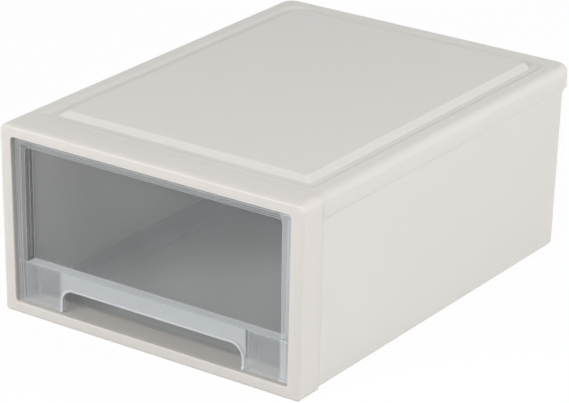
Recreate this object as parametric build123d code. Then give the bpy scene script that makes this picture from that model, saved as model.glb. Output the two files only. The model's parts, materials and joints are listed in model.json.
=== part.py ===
from build123d import *
import os
from math import atan2, radians, tan

# A stackable drawer box: a moulded tub with a front frame and a lid clipped to it, and one
# translucent drawer. Lengths are in millimetres. +X is to the right, +Y runs from the front to the
# back and +Z is up. The origin is the middle of the footprint, on the surface that the box stands on.

# ---- Overall size ----------------------------------------------------------------------------
width = 300.0
depth = 406.0
rim_height = 165.0  # level of the lid's border, which carries the next box
panel_rise = 2.5  # how far the lid's panel stands above that border

# ---- Case: walls, drafts and radii -------------------------------------------------------------
case_wall = 2.4
side_draft = 0.75  # degrees, the front frame's sides
tub_step = 0.6  # the tub's sides lie this far inside the lid's skirt
back_draft = 1.7  # degrees, the tub's back wall
back_overhang = 9.3  # the lid reaches this far behind the tub
tub_corner = 10.0
tub_foot_gap = 3.0  # height of the tub's underside
tub_edge = 2.2  # radius along the tub's lower edge
floor_wall = 2.6
skirt = 19.0  # height of the lid's skirt, from the border down to its seam with the tub
seam_gap = 0.4  # height of the shadow gap under the skirt
seam_gap_depth = 1.6  # how far the gap goes in from the skirt's face
roll_radius = 7.0  # the lid's side and back edges roll over
joint_gap = 0.15  # clearance of the tongues that plug one moulding into the next
tongue = 14.0  # how far a tongue reaches into the front frame
tongue_wall = 2.0
tongue_overlap = 10.0  # length over which a tongue is joined to its wall

# ---- Front frame -------------------------------------------------------------------------------
frame_depth = 27.0
frame_web = 2.6
stile = 11.4
head_rail = 10.2  # height of the rail above the opening
sill_height = 10.5  # bottom of the opening
opening_corner = 3.0
foot_corner = 3.5
brow_drop = 1.5  # the top surface falls this far at its front edge
brow_length = 7.0
frame_edge = 3.0  # radius round the front face
mouth_edge = 0.8  # radius round the opening

# ---- Lid ---------------------------------------------------------------------------------------
lid_wall = 2.5
lid_corner = 14.0  # back corners, seen from above
border = 15.2  # flat border beside the groove
border_slope = 4.6
groove_depth = 1.5
groove = 4.7
panel_bevel = 6.3
front_margin = 18.5  # the border is this much wider at the front
ring_corner = 3.0  # front corners of the groove and panel
groove_corner = 12.5  # back corners of the groove, at its floor
panel_foot_corner = 14.0  # back corners of the panel, where its bevel starts
panel_corner = 3.0  # and at its upper edge
rib = 1.8
rib_depth = 7.5
rib_count = 4
keeper_gap = 2.0  # from the tray's rim to the ribs that keep the open drawer from tipping
keeper_back = 32.3  # these ribs end this far before the lid's back face

# ---- Tub: rails and rim ------------------------------------------------------------------------
joggle = 5.0  # the collar inside the skirt starts this far below the seam
shelf_depth = 6.0  # the gutter behind the back wall, under the lid's overhang
shelf_edge = 4.5
foot_rail = 2.2
foot_rail_inset = 9.0  # from the side of the lid to the foot rail
nest_gap = 1.2  # from the locating rail to the panel of the box below
runner = 4.0
runner_inset = 21.0  # from the side of the tray's rim to the runner
rail_stop = 24.0  # the guide rails end this far before the back wall
fence = 2.0
fence_rise = 7.5  # above the runners
fence_gap = 0.6

# ---- Drawer ------------------------------------------------------------------------------------
drawer_wall = 2.0
drawer_gap = 0.3  # running clearance above the runners and the sill
flange_gap = 1.6  # round the flange, in the front frame's opening
flange_sill_gap = 0.8
flange_set_back = 3.0  # behind the face of the front frame
flange_corner = 2.2
rim_bead = 3.4
foot_bead = 2.0
bead_rise = 1.5
bead_edge = 0.6
window_side = 5.7  # from the tray's side to the window
window_head = 2.8  # from the tray's rim down to the window
window_depth = 9.3  # from the flange to the window
window_corner = 3.0
ledge_height = 46.6
lower_wall_knee = (4.6, 7.8)  # behind the window's plane, and below the ledge
lower_wall_foot = 7.0  # behind the window's plane, at the bottom
tray_side_gap = 5.6  # from the side of the opening to the tray's rim
tray_head_gap = 4.8  # from the top of the opening down to the tray's rim
tray_draft = 0.7  # degrees
tray_corner = 10.0
tray_front_corner = 4.0
tray_edge = 4.0
tray_back_gap = 8.2  # from the tray's rim to the tub's back wall
tray_rim = 2.2
pull_half = 90.5  # finger notch
pull_height = 31.4
pull_corner = 11.0
lip = 2.0
lip_depth = 4.5
lip_proud = 0.5
pocket_gap = 2.0  # from the notch to the ends of the pocket behind it
travel = 270.0
stop_gap = 0.3
stop_place = 60.0
stop_width = 20.0
stop_length = 9.0
stop_floor_gap = 1.6  # from the stop to the tub's floor

# ---- Places worked out from the sizes above ----------------------------------------------------
front = -depth / 2
back = depth / 2
frame_back = front + frame_depth
roll_start = rim_height - roll_radius
seam_height = rim_height - skirt
joggle_height = seam_height - joggle
head_height = rim_height - head_rail
floor_top = tub_foot_gap + floor_wall
lean = tan(radians(side_draft))
tub_back = back - back_overhang
window_face = front + flange_set_back + bead_rise + window_depth
flange_face = front + flange_set_back + bead_rise
groove_edge = border + border_slope
panel_foot = groove_edge + groove
panel_edge = panel_foot + panel_bevel
groove_floor = rim_height - groove_depth
panel_height = rim_height + panel_rise
bevel_lean = tan(atan2(panel_height - groove_floor, panel_bevel) / 2)
tray_half = width / 2 - stile - tray_side_gap
tray_height = head_height - tray_head_gap
tray_floor = sill_height + drawer_gap
tray_end = tub_back - case_wall - tray_back_gap
tray_bottom_half = tray_half - (tray_height - tray_floor) * tan(radians(tray_draft))
flange_low = sill_height + flange_sill_gap
window_half = tray_half - window_side
window_top = tray_height - window_head
keeper_height = tray_height + keeper_gap
runner_place = tray_half - runner_inset
fence_height = sill_height + fence_rise
pocket_end = pull_half + pocket_gap


# ---- Outlines ----------------------------------------------------------------------------------
def frame_half(height):
    """Half width of the front frame at a height below the roll-over."""
    return width / 2 - (roll_start - height) * lean


def on_front(outline, y_low, y_high):
    """A solid of an outline drawn in front view (x, height), from y_low back to y_high."""
    return extrude(Plane.XZ.offset(-y_low) * outline, amount=y_low - y_high)


def on_side(outline, half):
    """A solid of an outline drawn in side view (y, height), from -half to half across."""
    return extrude(Plane.YZ.offset(-half) * outline, amount=2 * half)


def slab(half, y_low, y_high, z_low, z_high, front_corner=0.0, back_corner=0.0):
    """An upright block with rounded corners, symmetric across the box."""
    return extrude(plan(half, y_low, y_high, z_low, front_corner, back_corner), amount=z_high - z_low)


def plan(half, y_low, y_high, height, front_corner=0.0, back_corner=0.0):
    """A rectangle seen from above, with one radius at its front and one at its back corners."""
    outline = Pos(0, (y_low + y_high) / 2) * Rectangle(2 * half, y_high - y_low)
    if front_corner > 0:
        outline = fillet(outline.vertices().group_by(Axis.Y)[0], front_corner)
    if back_corner > 0:
        outline = fillet(outline.vertices().group_by(Axis.Y)[-1], back_corner)
    return Pos(0, 0, height) * outline


def block(x_low, x_high, y_low, y_high, z_low, z_high):
    """A plain block between six planes."""
    middle = Pos((x_low + x_high) / 2, (y_low + y_high) / 2, (z_low + z_high) / 2)
    return middle * Box(x_high - x_low, y_high - y_low, z_high - z_low)


def drafted(low_half, high_half, z_low, z_high, low_corner=0.0, high_corner=0.0):
    """A trapezium in front view: the sides lean, and the lower and upper corners are rounded."""
    corners = [(-low_half, z_low), (low_half, z_low), (high_half, z_high), (-high_half, z_high)]
    outline = make_face(Polyline(*corners, close=True))
    if low_corner > 0:
        outline = fillet(outline.vertices().group_by(Axis.Y)[0], low_corner)
    if high_corner > 0:
        outline = fillet(outline.vertices().group_by(Axis.Y)[-1], high_corner)
    return outline


def round_back(body, radius):
    """A body with the two upright edges of its leaning back face rounded."""
    uprights = body.faces().sort_by(Axis.Y)[-1].edges().sort_by(Axis.X)[0::3]
    return fillet(uprights, radius)


# ---- Front frame -------------------------------------------------------------------------------
def frame_outline(inset):
    """The frame's outer edge in front view, or a smaller edge inset from it."""
    half = width / 2 - inset
    foot = frame_half(0) - inset
    radius = roll_radius - inset
    top = rim_height - inset
    side = [
        Line((0, inset), (foot, inset)),
        Line((foot, inset), (half, roll_start)),
        CenterArc((half - radius, roll_start), radius, 0, 90),
        Line((half - radius, top), (0, top)),
    ]
    right = make_face(side + [Line((0, top), (0, inset))])
    outline = right + mirror(right, about=Plane.YZ)
    feet = outline.vertices().group_by(Axis.Y)[0]
    return fillet(feet.sort_by(Axis.X)[0::len(feet) - 1], foot_corner - min(inset, foot_corner / 2))


def opening_outline(grow):
    """The opening in front view, or a larger edge round it."""
    low = frame_half(sill_height) - stile + grow
    high = frame_half(head_height) - stile + grow
    corner = opening_corner + grow
    return drafted(low, high, sill_height - grow, head_height + grow, corner, corner)


def make_front_frame():
    """A ring of channel section, open at the back, with a crowned top edge."""
    ring = on_front(frame_outline(0), front, frame_back)
    ring = fillet(ring.edges().group_by(Axis.Y)[0], frame_edge)
    brow_back = (front + brow_length, rim_height)
    brow_front = (front, rim_height - brow_drop)
    brow_corner = (front, rim_height)
    brow_radius = (brow_length**2 + brow_drop**2) / (2 * brow_drop)
    brow_curve = RadiusArc(brow_front, brow_back, brow_radius)
    brow = make_face([brow_curve, Line(brow_back, brow_corner), Line(brow_corner, brow_front)])
    ring -= on_side(brow, width)
    ring -= on_front(opening_outline(0), front, frame_back)
    mouth = ring.faces().sort_by(Axis.Y)[0].inner_wires()[0].edges()
    ring = fillet(mouth, mouth_edge)
    channel = frame_outline(case_wall) - opening_outline(case_wall)
    return ring - on_front(channel, front + frame_web, frame_back)


# ---- Lid ---------------------------------------------------------------------------------------
def lid_ring(margin, height, corner):
    """An edge on the lid, at one margin from its sides and back and wider at the front."""
    y_low = front + front_margin + margin
    return plan(width / 2 - margin, y_low, back - margin, height, ring_corner, corner)


def lid_block(inset):
    """The lid's outside with its groove and panel, or its inside where inset is the wall."""
    half = width / 2 - inset
    top = rim_height - inset
    corner = lid_corner - inset
    body = slab(half, frame_back - inset, back - inset, seam_height, top, 0, corner)
    rolled = body.edges().group_by(Axis.Z)[-1].sort_by(Axis.Y)[1:]
    body = fillet(rolled, roll_radius - inset)
    floor = groove_floor - inset
    pocket_floor = lid_ring(groove_edge, floor, groove_corner)
    pocket = loft([pocket_floor, lid_ring(border, top, groove_corner + border_slope)], ruled=True)
    foot = lid_ring(panel_foot + inset * bevel_lean, floor, panel_foot_corner)
    edge = lid_ring(panel_edge + inset * bevel_lean, panel_height - inset, panel_corner)
    return body - pocket + loft([foot, edge], ruled=True)


def make_top_board():
    """The lid: a skirted tray turned over, with a raised panel inside a groove."""
    lid = lid_block(0) - lid_block(lid_wall)
    under = rim_height - lid_wall
    border_end = front + front_margin + border
    lip_half = frame_half(head_height) - stile
    lip_top = rim_height - case_wall - joint_gap
    lip_low = lip_top - tongue_wall
    lid += slab(lip_half, frame_back - tongue, frame_back, lip_low, lip_top, tongue_wall)
    lid += slab(lip_half, frame_back, border_end, lip_low, under)
    keeper_x = tray_half - drawer_wall / 2
    keeper_end = back - keeper_back
    keeper_top = groove_floor - lid_wall
    for middle in (-keeper_x, keeper_x):
        low, high = middle - rib / 2, middle + rib / 2
        lid += block(low, high, border_end, keeper_end, keeper_height, keeper_top)
    span = width / 2 - panel_edge - lid_wall
    reach = depth - front_margin - 2 * panel_edge
    rib_top = panel_height - lid_wall
    for place in range(rib_count):
        y = front + front_margin + panel_edge + reach * (place + 0.5) / rib_count
        lid += block(-span, span, y - rib / 2, y + rib / 2, rib_top - rib_depth, rib_top)
    return lid


# ---- Tub ---------------------------------------------------------------------------------------
def tub_half(height):
    """Half width of the tub at a height."""
    share = (height - tub_foot_gap) / (seam_height - tub_foot_gap)
    foot_half = frame_half(tub_foot_gap)
    return foot_half + share * (width / 2 - tub_step - foot_half)


def tub_end(height):
    """Where the tub's back wall is at a height."""
    return tub_back - (seam_height - height) * tan(radians(back_draft))


def tub_block(inset, z_low, z_high, y_low=frame_back):
    """The tub's outside between two heights, or a smaller block inset from it."""
    sides = drafted(tub_half(z_low) - inset, tub_half(z_high) - inset, z_low, z_high)
    low_end = (tub_end(z_low) - inset, z_low)
    high_end = (tub_end(z_high) - inset, z_high)
    length = make_face(Polyline((y_low, z_low), low_end, high_end, (y_low, z_high), close=True))
    body = on_front(sides, y_low, back) & on_side(length, width / 2)
    return round_back(body, tub_corner - inset)


def rail_ring(half, y_low, y_high, thickness):
    """A closed rail under the floor, down to the surface that the box stands on."""
    outer = slab(half, y_low, y_high, 0, tub_foot_gap, 0, tub_corner)
    inside = half - thickness
    inner = slab(inside, y_low + thickness, y_high - thickness, 0, tub_foot_gap, 0, tub_corner / 2)
    return outer - inner


def make_case_body():
    """The tub: floor, walls, the collar and gutter under the lid, rails under and over the floor."""
    shell = tub_block(0, tub_foot_gap, seam_height)
    shell = fillet(shell.edges().group_by(Axis.Z)[0].sort_by(Axis.Y)[1:], tub_edge)
    plug = case_wall + joint_gap
    core = tub_block(plug, tub_foot_gap, seam_height, frame_back - tongue)
    shell += fillet(core.edges().group_by(Axis.Z)[0].filter_by(Axis.Y), tub_edge)
    collar_half = width / 2 - lid_wall - joint_gap
    collar_corner = tub_corner - joint_gap
    collar_top = roll_start - joint_gap
    shell += slab(
        collar_half, frame_back, tub_back - joint_gap, joggle_height, collar_top, 0, collar_corner
    )
    shelf_low = seam_height - shelf_depth
    shelf_half = width / 2 - tub_step - case_wall / 2
    shelf = slab(shelf_half, back - 2 * lid_corner, back, shelf_low, seam_height, 0, lid_corner)
    shell += fillet(shelf.edges().group_by(Axis.Z)[0].sort_by(Axis.Y)[1:], shelf_edge)
    gutter_half = width / 2 - lid_corner
    gutter = slab(gutter_half, tub_back, back - case_wall, shelf_low + case_wall, seam_height)
    gutter_edge = gutter.edges().filter_by(Axis.X).group_by(Axis.Z)[0].sort_by(Axis.Y)[-1]
    shell -= fillet(gutter_edge, shelf_edge - case_wall)
    gap_low = seam_height - seam_gap
    shoulder_half = width / 2 - seam_gap_depth
    shoulder_corner = lid_corner - seam_gap_depth
    shell -= slab(width, frame_back, depth, gap_low, seam_height) - slab(
        shoulder_half, frame_back, back - seam_gap_depth, gap_low, seam_height, 0, shoulder_corner
    )

    shell -= tub_block(case_wall, floor_top, joggle_height, frame_back + tongue_overlap)
    throat = tub_block(plug + tongue_wall, floor_top, seam_height, frame_back - 2 * tongue)
    shell -= throat & slab(width, frame_back - 2 * tongue, frame_back + tongue_overlap, 0, joggle_height)
    neck_half = collar_half - tongue_wall
    neck_back = tub_back - joint_gap - tongue_wall
    neck_corner = collar_corner - tongue_wall
    shell -= slab(
        neck_half, frame_back - 2 * tongue, neck_back, joggle_height, collar_top, 0, neck_corner
    )

    shell += rail_ring(width / 2 - foot_rail_inset, frame_back, tub_end(tub_foot_gap), foot_rail)
    nest = panel_foot - nest_gap - foot_rail
    shell += rail_ring(width / 2 - nest, front + front_margin + nest, back - nest, foot_rail)

    rail_end = tub_back - rail_stop
    fence_x = tray_bottom_half + fence_gap
    for side in (-1, 1):
        low, high = sorted((side * runner_place, side * (runner_place + runner)))
        shell += block(low, high, frame_back, rail_end, floor_top, sill_height)
        low, high = sorted((side * fence_x, side * (fence_x + fence)))
        shell += block(low, high, frame_back, rail_end, floor_top, fence_height)
    return shell


# ---- Drawer ------------------------------------------------------------------------------------
def tray_side(inset):
    """The tray's outside in side view, or a smaller outline inset from it and open above."""
    knee_y, knee_drop = lower_wall_knee
    top = tray_height + 2 * inset
    points = [
        (window_face + lower_wall_foot, tray_floor),
        (window_face + knee_y, ledge_height - knee_drop),
        (window_face, ledge_height),
        (window_face, top),
        (tray_end, top),
        (tray_end - (tray_height - tray_floor) * tan(radians(back_draft)), tray_floor),
    ]
    outline = make_face(Polyline(*points, close=True))
    return offset(outline, -inset, kind=Kind.INTERSECTION) if inset > 0 else outline


def tray_block(inset):
    """The tray's outside, or its inside where inset is the wall, with a rounded lower edge."""
    front_corner = tray_front_corner - inset
    y_low = window_face + inset
    low = plan(tray_bottom_half - inset, y_low, tray_end, tray_floor, front_corner)
    high = plan(tray_half - inset, y_low, tray_end, tray_height, front_corner)
    tray = loft([low, high], ruled=True) & on_side(tray_side(inset), tray_half)
    tray = round_back(tray, tray_corner - inset)
    return fillet(tray.edges().group_by(Axis.Z)[0], tray_edge - inset)


def flange_outline(inset):
    """The flange's outer edge in front view, or a smaller edge inset from it."""
    z_low = flange_low + min(inset, foot_bead)
    z_high = head_height - flange_gap - inset
    low = frame_half(flange_low) - stile - flange_gap - inset
    high = frame_half(z_high) - stile - flange_gap - inset
    return drafted(low, high, z_low, z_high, 0, max(flange_corner - inset, window_corner / 2))


def notch_outline(grow, z_low):
    """The finger notch in front view, open at the bottom, or a larger one round it."""
    half = pull_half + grow
    return drafted(half, half, z_low, pull_height + grow, 0, pull_corner + grow)


def make_front():
    """The drawer's front: a beaded flange, the reveal round the window, the ledge and the pull."""
    rim_face = front + flange_set_back
    plate_back = flange_face + drawer_wall
    window = drafted(window_half, window_half, ledge_height, window_top, 0, window_corner)
    panel = on_front(flange_outline(0) - window, flange_face, plate_back)
    bead = on_front(flange_outline(0) - flange_outline(rim_bead), rim_face, plate_back)
    panel += fillet(bead.edges().group_by(Axis.Y)[0], bead_edge)
    reveal = drafted(tray_half, tray_half, ledge_height - drawer_wall, tray_height) - window
    panel += on_front(reveal, flange_face, window_face + drawer_wall)
    cheek_low = tray_bottom_half
    cheek = drafted(cheek_low, tray_half, flange_low, ledge_height)
    cheek -= drafted(cheek_low - drawer_wall, tray_half - drawer_wall, flange_low, ledge_height)
    pocket_back = window_face + lower_wall_foot + drawer_wall
    panel += on_front(cheek, flange_face, pocket_back)
    for x_low in (-pocket_end - drawer_wall, pocket_end):
        panel += block(x_low, x_low + drawer_wall, flange_face, pocket_back, flange_low, ledge_height)
    panel -= on_front(notch_outline(0, 0), rim_face, plate_back)
    turned_lip = notch_outline(lip, flange_low) - notch_outline(0, flange_low)
    return panel + on_front(turned_lip, flange_face - lip_proud, flange_face + lip_depth)


def make_stop(middle):
    """A wedge under the tray that catches behind the sill when the drawer is fully open."""
    catch = frame_back + travel + stop_gap
    low = floor_top + stop_floor_gap
    high = tray_floor + drawer_wall / 2
    points = [(catch, high), (catch, low), (catch + stop_length / 3, low), (catch + stop_length, high)]
    wedge = on_side(make_face(Polyline(*points, close=True)), stop_width / 2)
    return Pos(middle, 0, 0) * wedge


def make_drawer():
    """One moulding: a tray with a recessed window, a flange round its front and a finger pull."""
    drawer = tray_block(0) + make_front()
    rim_half = tray_half + tray_rim
    rim_back = tray_end + tray_rim
    rim_low = tray_height - drawer_wall
    drawer += slab(rim_half, window_face, rim_back, rim_low, tray_height, 0, tray_corner + tray_rim)
    for middle in (-stop_place, stop_place):
        drawer += make_stop(middle)
    return drawer - tray_block(drawer_wall)


# ---- Sub-parts ---------------------------------------------------------------------------------
parts = {
    "front_frame": make_front_frame(),
    "top_board": make_top_board(),
    "case_body": make_case_body(),
    "drawer": make_drawer(),
}
os.makedirs("parts", exist_ok=True)
for name, solid in parts.items():
    export_step(Part() + solid, f"parts/{name}.step")
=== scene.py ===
"""Looks, light and camera for a stackable drawer box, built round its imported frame. Lengths are in metres."""

import json
import math

import bpy
from mathutils import Matrix, Vector

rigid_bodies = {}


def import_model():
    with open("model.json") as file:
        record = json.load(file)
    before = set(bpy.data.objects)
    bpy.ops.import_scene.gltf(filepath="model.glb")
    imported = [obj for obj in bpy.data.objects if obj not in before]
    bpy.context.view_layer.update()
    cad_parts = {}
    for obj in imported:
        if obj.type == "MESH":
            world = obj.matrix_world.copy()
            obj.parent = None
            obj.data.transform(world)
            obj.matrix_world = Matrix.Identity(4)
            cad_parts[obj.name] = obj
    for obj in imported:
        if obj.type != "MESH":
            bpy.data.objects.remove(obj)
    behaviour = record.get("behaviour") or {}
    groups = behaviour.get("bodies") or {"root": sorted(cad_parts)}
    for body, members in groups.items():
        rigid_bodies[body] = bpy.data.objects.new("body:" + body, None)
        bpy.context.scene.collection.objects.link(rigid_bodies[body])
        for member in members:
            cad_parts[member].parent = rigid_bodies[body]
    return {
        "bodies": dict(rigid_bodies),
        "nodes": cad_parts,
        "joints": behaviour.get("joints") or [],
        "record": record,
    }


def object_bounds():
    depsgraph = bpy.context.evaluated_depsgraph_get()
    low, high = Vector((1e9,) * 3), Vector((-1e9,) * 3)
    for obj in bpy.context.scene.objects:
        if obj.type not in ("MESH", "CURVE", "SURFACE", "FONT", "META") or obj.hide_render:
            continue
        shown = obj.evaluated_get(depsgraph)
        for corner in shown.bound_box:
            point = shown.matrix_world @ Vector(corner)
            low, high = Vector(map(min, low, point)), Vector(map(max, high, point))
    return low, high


# ---- Camera, solved from the box's own edges in the photograph ------------------------------------
PHOTO_WIDTH = 569
FOCAL_PIXELS = 2836.5
SENSOR_WIDTH = 36.0
CAMERA_PLACE = Vector((1.2664, -1.8245, 0.9766))
CAMERA_YAW = math.radians(34.97)
CAMERA_PITCH = math.radians(22.30)
CAMERA_ROLL = math.radians(0.71)

# ---- Light -----------------------------------------------------------------------------------------
SKY_TOP = 0.27
SKY_SIDE = 0.50
SKY_SIDE_END = 0.1  # height of the sky direction up to which its side strength holds
SKY_TINT = (1.0, 0.995, 0.985)
WHITE = (1.0, 1.0, 1.0, 1.0)
FRONT_LAMP = ((-0.286, -0.882, 0.375), 2.2, 1.1, 29.4)  # direction, distance, size, watts
RIGHT_LAMP = ((0.852, 0.120, 0.500), 2.6, 1.5, 46.5)
FLOOR_SIZE = 12.0
FLOOR_COLOUR = (0.55, 0.55, 0.55)
FLOOR_ROUGHNESS = 0.9
FLOOR_SHOWN_WHITE = 0.95  # share of plain white where the floor shows, the rest keeps the shadow
FLOOR_GAP = 0.0002  # the floor lies this far under the foot, so that the two never share a plane

# ---- Plastic ---------------------------------------------------------------------------------------
SEAM_HEIGHT = 0.146  # where the lid meets the tub; a painted shade line lies just under it on the tub
CASE_COLOUR = (0.700, 0.676, 0.640)
# the case colour made a touch warmer: a painted warm cast of the light on the front
FRAME_WARM_CAST_COLOUR = (0.710, 0.674, 0.636)
DRAWER_COLOUR = (0.86, 0.90, 0.93)
EDGE_SHADE = 0.66  # how grey the painted edge shade makes the drawer's edges against its faces
CASE_CYCLES = {"flow": 7.0, "speck": 1400.0, "rub": 90.0, "grain": 2600.0, "ripple": 26.0}  # per metre
DRAWER_CYCLES = {"cloud": 16.0, "grain": 1800.0, "ripple": 30.0}
CASE_EDGE = 0.0006  # width of the rubbed edges
DRAWER_EDGE = 0.0012  # width of the edges drawn as painted lines of light and shade
EDGE_ROUNDING = 0.0003

# ---- Places on the drawer's front ------------------------------------------------------------------
PLATE_BACK = -0.1965  # just behind the front faces of flange and blocks
PULL_BACK = -0.1875  # behind the ledge and the sloped wall under it
LEDGE_FOOT = 0.0460
LEDGE_TOP = (0.0464, 0.0467)  # between these heights lies the ledge's upper face
LIP_FRONT = -0.1988
LIP_TOP = 0.0334
PULL_HALF = 0.0925  # half the width of the finger pull
WINDOW_HALF = 0.1262

# ---- How milky the drawer is, with painted light in some zones: 0 clear, 1 solid -------------------
HAZE_BASE = (0.085, 0.10)
HAZE_GRAZING = 0.34
# edges made more opaque: painted highlight lines along the drawer's edges
PAINTED_EDGE_HAZE = 0.75
HAZE_MOST = 0.92
HAZE_PLATE, HAZE_LOW_WALLS_AND_LIGHT, HAZE_BAND_WALLS_AND_LIGHT, HAZE_LEDGE_LIGHT, HAZE_LIP_HIGHLIGHT, HAZE_RIGHT_LIGHT = 0.04, 0.03, 0.18, 0.75, 0.15, 0.20


def start():
    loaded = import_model()
    return loaded, [list(corner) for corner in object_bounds()]


# ---- Node helpers ----------------------------------------------------------------------------------
class Nodes:
    """A small wrapper that adds and links the nodes of one material."""

    def __init__(self, name):
        self.material = bpy.data.materials.new(name)
        self.material.use_nodes = True
        self.tree = self.material.node_tree
        self.tree.nodes.clear()
        self.output = self.add("ShaderNodeOutputMaterial")
        self.shader = self.add("ShaderNodeBsdfPrincipled")
        self.link(self.shader.outputs["BSDF"], self.output.inputs["Surface"])
        self.place = self.add("ShaderNodeTexCoord").outputs["Object"]
        axes = self.add("ShaderNodeSeparateXYZ")
        self.link(self.place, axes.inputs[0])
        self.across, self.along, self.height = axes.outputs

    def add(self, kind, **settings):
        node = self.tree.nodes.new(kind)
        for key, value in settings.items():
            setattr(node, key, value)
        return node

    def link(self, source, target):
        self.tree.links.new(source, target)

    def set(self, **values):
        """Constant values on the shader's own sockets, by socket name with _ for a space."""
        for key, value in values.items():
            self.shader.inputs[key.replace("_", " ")].default_value = value

    def noise(self, scale, detail=2.0, roughness=0.5, stretch=(1, 1, 1)):
        """A noise value from 0 to 1 with its scale in cycles per metre."""
        mapping = self.add("ShaderNodeMapping")
        mapping.inputs["Scale"].default_value = stretch
        self.link(self.place, mapping.inputs["Vector"])
        noise = self.add("ShaderNodeTexNoise")
        noise.inputs["Scale"].default_value = scale
        noise.inputs["Detail"].default_value = detail
        noise.inputs["Roughness"].default_value = roughness
        self.link(mapping.outputs["Vector"], noise.inputs["Vector"])
        return noise.outputs["Fac"]

    def span(self, value, low, high, out_low, out_high):
        """A value mapped from one span to another, held at its ends."""
        node = self.add("ShaderNodeMapRange")
        numbers = (low, high, out_low, out_high)
        for name, number in zip(("From Min", "From Max", "To Min", "To Max"), numbers):
            node.inputs[name].default_value = number
        self.link(value, node.inputs["Value"])
        return node.outputs["Result"]

    def below(self, value, place, blend):
        """1 up to a place, 0 from a small blend further on."""
        return self.span(value, place, place + blend, 1.0, 0.0)

    def above(self, value, place, blend):
        """0 up to a place, 1 from a small blend further on."""
        return self.span(value, place, place + blend, 0.0, 1.0)

    def maths(self, operation, first, second):
        """Two values, or a value and a number, joined by one operation."""
        node = self.add("ShaderNodeMath", operation=operation)
        for socket, value in zip(node.inputs, (first, second)):
            if isinstance(value, (int, float)):
                socket.default_value = value
            else:
                self.link(value, socket)
        return node.outputs["Value"]

    def mix(self, share, first, second):
        """Two colours mixed by a value; each is a colour tuple or a socket."""
        node = self.add("ShaderNodeMix", data_type="RGBA")
        self.link(share, node.inputs["Factor"])
        for name, colour in (("A", first), ("B", second)):
            socket = [s for s in node.inputs if s.name == name and s.type == "RGBA"][0]
            if isinstance(colour, tuple):
                socket.default_value = (*colour[:3], 1.0)
            else:
                self.link(colour, socket)
        return [s for s in node.outputs if s.type == "RGBA"][0]

    def edges(self, radius):
        """Near 1 on the object's own sharp or tightly rounded edges, else 0."""
        bevel = self.add("ShaderNodeBevel", samples=4)
        bevel.inputs["Radius"].default_value = radius
        normal = self.add("ShaderNodeNewGeometry").outputs["Normal"]
        dot = self.add("ShaderNodeVectorMath", operation="DOT_PRODUCT")
        self.link(bevel.outputs["Normal"], dot.inputs[0])
        self.link(normal, dot.inputs[1])
        return self.span(dot.outputs["Value"], 0.995, 0.85, 0.0, 1.0)

    def bump(self, heights, radius=0.0):
        """Bumps one after another, each (height value, strength, distance in metres)."""
        normal = None
        if radius > 0:
            bevel = self.add("ShaderNodeBevel", samples=4)
            bevel.inputs["Radius"].default_value = radius
            normal = bevel.outputs["Normal"]
        for height, strength, distance in heights:
            node = self.add("ShaderNodeBump")
            node.inputs["Strength"].default_value = strength
            node.inputs["Distance"].default_value = distance
            self.link(height, node.inputs["Height"])
            if normal is not None:
                self.link(normal, node.inputs["Normal"])
            normal = node.outputs["Normal"]
        self.link(normal, self.shader.inputs["Normal"])


def shade(colour, factor):
    """A colour made lighter or darker."""
    return tuple(min(1.0, channel * factor) for channel in colour)


# ---- Materials -------------------------------------------------------------------------------------
def case_plastic(name, colour, stretch, seam_shade_height=None):
    """Satin moulded polypropylene: faint flow marks, a fine grain and slightly rubbed edges.

    With seam_shade_height given, a thin line just under that height is darker: painted shade under the lid's
    edge."""
    m = Nodes(name)
    flow = m.noise(CASE_CYCLES["flow"], 3.0, 0.55, stretch)
    cloud = m.span(flow, 0.3, 0.7, 0.0, 1.0)
    base = m.mix(cloud, shade(colour, 0.985), shade(colour, 1.012))
    speck = m.span(m.noise(CASE_CYCLES["speck"], 1.0), 0.62, 0.80, 0.0, 0.35)
    base = m.mix(speck, base, shade(colour, 0.95))
    patches = m.span(m.noise(CASE_CYCLES["rub"], 3.0), 0.4, 0.65, 0.15, 0.6)
    worn = m.maths("MULTIPLY", m.edges(CASE_EDGE), patches)
    base = m.mix(worn, base, shade(colour, 1.06))
    if seam_shade_height is not None:
        # painted shade: the tub's top strip just under the lid is darkened
        base = m.mix(m.above(m.height, seam_shade_height - 0.0013, 0.0006), base, shade(colour, 0.90))
    m.link(base, m.shader.inputs["Base Color"])
    grain = m.noise(CASE_CYCLES["grain"], 2.0, 0.6)
    rough = m.maths("ADD", m.span(flow, 0.3, 0.7, 0.38, 0.45), m.span(grain, 0.3, 0.7, -0.02, 0.03))
    m.link(rough, m.shader.inputs["Roughness"])
    ripple = m.noise(CASE_CYCLES["ripple"], 1.0, 0.4, stretch)
    m.bump([(ripple, 0.12, 0.0006), (grain, 0.10, 0.00005)], EDGE_ROUNDING)
    m.set(IOR=1.49, Specular_IOR_Level=0.32)
    m.set(Subsurface_Weight=0.24, Subsurface_Scale=0.012, Subsurface_Radius=(1.0, 0.95, 0.86))
    return m.material


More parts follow.
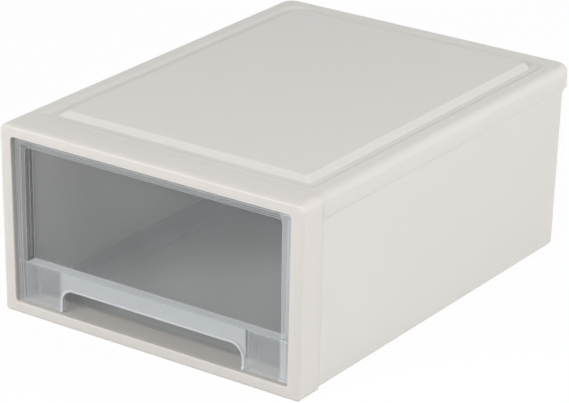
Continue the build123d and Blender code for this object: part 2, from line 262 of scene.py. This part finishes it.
def drawer_plastic(name):
    """Clear, faintly milky and bluish plastic: whiter in its thick front and seen edge-on, with painted light
    and shade on its edges and painted light on its lip, ledge and right end.
    """
    m = Nodes(name)
    colour = DRAWER_COLOUR
    cloud = m.span(m.noise(DRAWER_CYCLES["cloud"], 3.0, 0.55, (1, 0.4, 1)), 0.3, 0.7, 0.0, 1.0)
    base = m.mix(cloud, shade(colour, 0.985), shade(colour, 1.02))
    facing = m.add("ShaderNodeLayerWeight")
    facing.inputs["Blend"].default_value = 0.35
    grazing = m.span(facing.outputs["Facing"], 0.45, 1.0, 0.0, HAZE_GRAZING)
    edge = m.edges(DRAWER_EDGE)
    sideways = m.maths("ABSOLUTE", m.across, 0.0)
    plate = m.below(m.along, PLATE_BACK, 0.0005)
    structure = m.below(m.along, PULL_BACK, 0.001)
    # low front and the band under the pull: more haze, partly for the stacked walls there and partly painted
    # light that the plastic scatters into its shade
    low = m.maths("MULTIPLY", m.below(m.height, LEDGE_FOOT, 0.0004), plate)
    band = m.maths("MULTIPLY", low, m.below(sideways, PULL_HALF, 0.001))
    # the ledge's upper face: painted light from above, by making it nearly opaque
    ledge = m.maths("MULTIPLY", m.above(m.height, LEDGE_TOP[0], 0.0001), structure)
    ledge = m.maths("MULTIPLY", ledge, m.below(m.height, LEDGE_TOP[1], 0.0001))
    # the lip: a painted highlight along the finger pull's rim, by more haze and no edge shade
    lip = m.maths("MULTIPLY", m.below(m.height, LIP_TOP, 0.0002), m.below(m.along, LIP_FRONT, 0.0002))
    lip = m.maths("MULTIPLY", lip, m.below(sideways, PULL_HALF, 0.0003))
    # the drawer's right end: painted light where the light catches it, by more haze
    right = m.maths("MULTIPLY", m.above(m.across, WINDOW_HALF, 0.0004), structure)

    # painted shade: edges, and walls seen edge-on, are greyer than the faces, standing in for the light the
    # clear plastic bends away there, so they show on white as on dark
    painted_edge_shade = m.maths("MINIMUM", m.maths("ADD", edge, m.maths("MULTIPLY", grazing, 1.8)), 1.0)
    # the lip is kept out of the painted edge shade, so its painted highlight stays bright
    painted_edge_shade = m.maths("MULTIPLY", painted_edge_shade, m.maths("SUBTRACT", 1.0, lip))
    m.link(m.mix(painted_edge_shade, base, shade(colour, EDGE_SHADE)), m.shader.inputs["Base Color"])

    # haze: milkiness seen edge-on, plus the painted edge lines
    haze = m.maths("ADD", grazing, m.maths("MULTIPLY", edge, PAINTED_EDGE_HAZE))
    haze = m.maths("ADD", haze, m.span(cloud, 0.0, 1.0, *HAZE_BASE))
    # extra haze by zone: ledge, lip and right end are painted light, low front and band partly so
    zones = (
        (plate, HAZE_PLATE), (low, HAZE_LOW_WALLS_AND_LIGHT), (band, HAZE_BAND_WALLS_AND_LIGHT),
        (ledge, HAZE_LEDGE_LIGHT), (lip, HAZE_LIP_HIGHLIGHT), (right, HAZE_RIGHT_LIGHT),
    )
    for zone, amount in zones:
        haze = m.maths("ADD", haze, m.maths("MULTIPLY", zone, amount))
    m.link(m.maths("MINIMUM", haze, HAZE_MOST), m.shader.inputs["Alpha"])
    grain = m.noise(DRAWER_CYCLES["grain"], 2.0, 0.6)
    m.link(m.span(grain, 0.3, 0.7, 0.10, 0.20), m.shader.inputs["Roughness"])
    ripple = m.noise(DRAWER_CYCLES["ripple"], 1.0, 0.4)
    m.bump([(ripple, 0.15, 0.0006), (grain, 0.05, 0.00003)], EDGE_ROUNDING)
    m.set(IOR=1.5)
    return m.material


def dress(frame):
    """Each CAD node gets its material; all four shapes are shown as they are."""
    finishes = {
        "case_body": case_plastic("case_body_plastic", CASE_COLOUR, (1, 0.35, 1), SEAM_HEIGHT),
        "top_board": case_plastic("top_board_plastic", CASE_COLOUR, (0.6, 0.3, 1)),
        "front_frame": case_plastic("front_frame_plastic", FRAME_WARM_CAST_COLOUR, (1, 1, 0.5)),
        "drawer": drawer_plastic("drawer_plastic"),
    }
    for node, finish in finishes.items():
        slots = frame["nodes"][node].data.materials
        slots.clear()
        slots.append(finish)


# ---- Stage -----------------------------------------------------------------------------------------
def is_seen(tree):
    """1 on rays that show the background: straight, mirrored or refracted ones."""
    ray = tree.nodes.new("ShaderNodeLightPath")
    seen = ray.outputs["Is Camera Ray"]
    for name in ("Is Glossy Ray", "Is Transmission Ray"):
        either = tree.nodes.new("ShaderNodeMath")
        either.operation = "MAXIMUM"
        tree.links.new(seen, either.inputs[0])
        tree.links.new(ray.outputs[name], either.inputs[1])
        seen = either.outputs[0]
    return seen


def make_floor():
    """A wide pale floor: it lights the box as it is, and shows as white with the soft shadow kept."""
    half = FLOOR_SIZE / 2
    corners = [(-half, -half), (half, -half), (half, half), (-half, half)]
    mesh = bpy.data.meshes.new("floor")
    mesh.from_pydata([(x, y, -FLOOR_GAP) for x, y in corners], [], [(0, 1, 2, 3)])
    floor = bpy.data.objects.new("floor", mesh)
    bpy.context.scene.collection.objects.link(floor)
    m = Nodes("floor_white")
    m.set(Roughness=FLOOR_ROUGHNESS, Specular_IOR_Level=0.0)
    seen = is_seen(m.tree)
    m.link(m.mix(seen, FLOOR_COLOUR, WHITE), m.shader.inputs["Base Color"])
    white = m.add("ShaderNodeEmission")
    white.inputs["Color"].default_value = WHITE
    both = m.add("ShaderNodeMixShader")
    m.link(m.maths("MULTIPLY", seen, FLOOR_SHOWN_WHITE), both.inputs["Fac"])
    m.link(m.shader.outputs["BSDF"], both.inputs[1])
    m.link(white.outputs["Emission"], both.inputs[2])
    m.link(both.outputs["Shader"], m.output.inputs["Surface"])
    mesh.materials.append(m.material)


def make_world():
    """A pale sky, brighter at the sides than overhead, and plain white where it shows."""
    world = bpy.data.worlds.new("studio")
    world.use_nodes = True
    bpy.context.scene.world = world
    nodes, links = world.node_tree.nodes, world.node_tree.links
    nodes.clear()
    out = nodes.new("ShaderNodeOutputWorld")
    sky = nodes.new("ShaderNodeBackground")
    shown = nodes.new("ShaderNodeBackground")
    shown.inputs["Color"].default_value = WHITE
    direction = nodes.new("ShaderNodeTexCoord").outputs["Generated"]
    height = nodes.new("ShaderNodeSeparateXYZ")
    links.new(direction, height.inputs[0])
    level = nodes.new("ShaderNodeMapRange")
    level.interpolation_type = "SMOOTHSTEP"
    level.inputs["From Min"].default_value = SKY_SIDE_END
    level.inputs["From Max"].default_value = 1.0
    level.inputs["To Min"].default_value = SKY_SIDE
    level.inputs["To Max"].default_value = SKY_TOP
    links.new(height.outputs["Z"], level.inputs["Value"])
    links.new(level.outputs["Result"], sky.inputs["Strength"])
    sky.inputs["Color"].default_value = (*SKY_TINT, 1.0)
    mix = nodes.new("ShaderNodeMixShader")
    links.new(is_seen(world.node_tree), mix.inputs["Fac"])
    links.new(sky.outputs[0], mix.inputs[1])
    links.new(shown.outputs[0], mix.inputs[2])
    links.new(mix.outputs[0], out.inputs["Surface"])


def make_lamp(name, place, target, size, power):
    """A square soft box that shines from one point towards another."""
    lamp = bpy.data.lights.new(name, "AREA")
    lamp.size = size
    lamp.energy = power
    thing = bpy.data.objects.new(name, lamp)
    thing.location = place
    thing.rotation_mode = "QUATERNION"
    thing.rotation_quaternion = (Vector(target) - Vector(place)).to_track_quat("-Z", "Y")
    bpy.context.scene.collection.objects.link(thing)


def make_lights(centre):
    """Two soft boxes, one before the front and a larger one at the right side."""
    for name, (direction, distance, size, power) in (("front", FRONT_LAMP), ("right", RIGHT_LAMP)):
        make_lamp(name, centre + distance * Vector(direction).normalized(), centre, size, power)


def make_camera():
    """The photograph's viewpoint: yaw about Z, then pitch down, then roll about the view axis."""
    cos_yaw, sin_yaw = math.cos(CAMERA_YAW), math.sin(CAMERA_YAW)
    cos_pitch, sin_pitch = math.cos(CAMERA_PITCH), math.sin(CAMERA_PITCH)
    forward = Vector((-sin_yaw * cos_pitch, cos_yaw * cos_pitch, -sin_pitch))
    level_right = Vector((cos_yaw, sin_yaw, 0))
    level_up = level_right.cross(forward)
    right = math.cos(CAMERA_ROLL) * level_right + math.sin(CAMERA_ROLL) * level_up
    up = math.cos(CAMERA_ROLL) * level_up - math.sin(CAMERA_ROLL) * level_right
    data = bpy.data.cameras.new("camera")
    data.sensor_width = SENSOR_WIDTH
    data.lens = FOCAL_PIXELS / PHOTO_WIDTH * SENSOR_WIDTH
    camera = bpy.data.objects.new("camera", data)
    turn = Matrix((right, up, -forward)).transposed().to_4x4()
    camera.matrix_world = Matrix.Translation(CAMERA_PLACE) @ turn
    bpy.context.scene.collection.objects.link(camera)
    bpy.context.scene.camera = camera


frame, cad_box = start()
dress(frame)
make_floor()
make_world()
make_lights((Vector(cad_box[0]) + Vector(cad_box[1])) / 2)
make_camera()
bpy.context.scene.view_settings.view_transform = "Standard"
